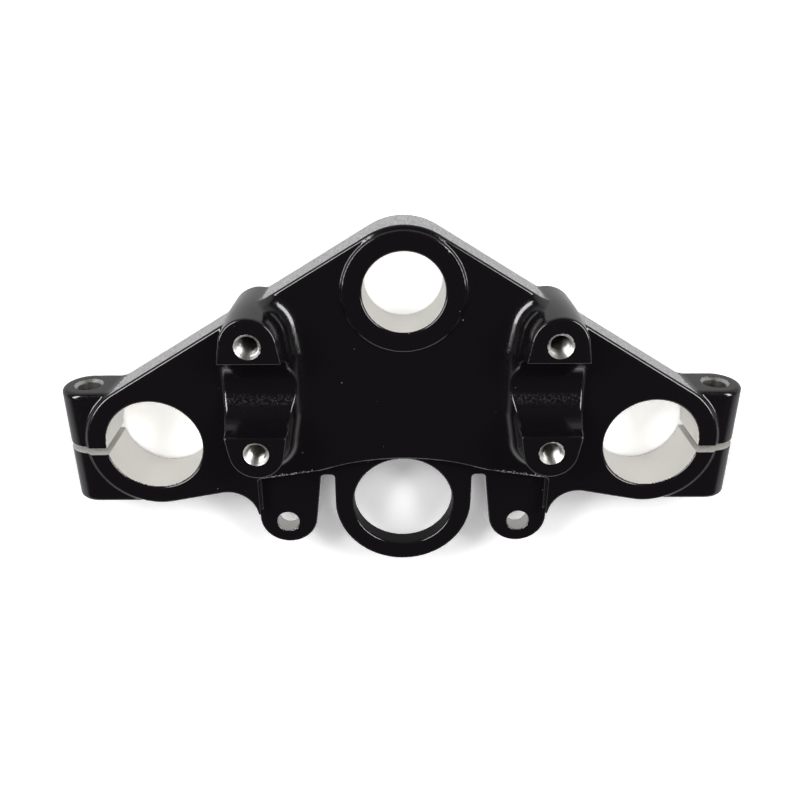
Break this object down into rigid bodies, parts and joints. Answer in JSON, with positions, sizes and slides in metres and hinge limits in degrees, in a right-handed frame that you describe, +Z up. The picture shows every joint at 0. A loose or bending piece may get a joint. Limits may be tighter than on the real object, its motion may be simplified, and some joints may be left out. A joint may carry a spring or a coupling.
{
  "type": "motorcycle triple clamp",
  "caption": "Cast upper triple clamp of a motorcycle, with pinch clamps for the fork tubes, a steering stem bore, handlebar saddles on risers and a front ring between lugs.",
  "frame": {"origin": "on the axis of the steering stem bore, level with the plate's flat top", "axes": "+X to the rider's left fork, +Y from the forks towards the stem, +Z up along the stem"},
  "size_m": [0.2636, 0.1433, 0.041],
  "materials": {
    "black_paint": "gloss black paint over cast aluminium, bores machined bare"
  },
  "bodies": {
    "root": {"yoke": "black_paint"}
  },
  "joints": []
}
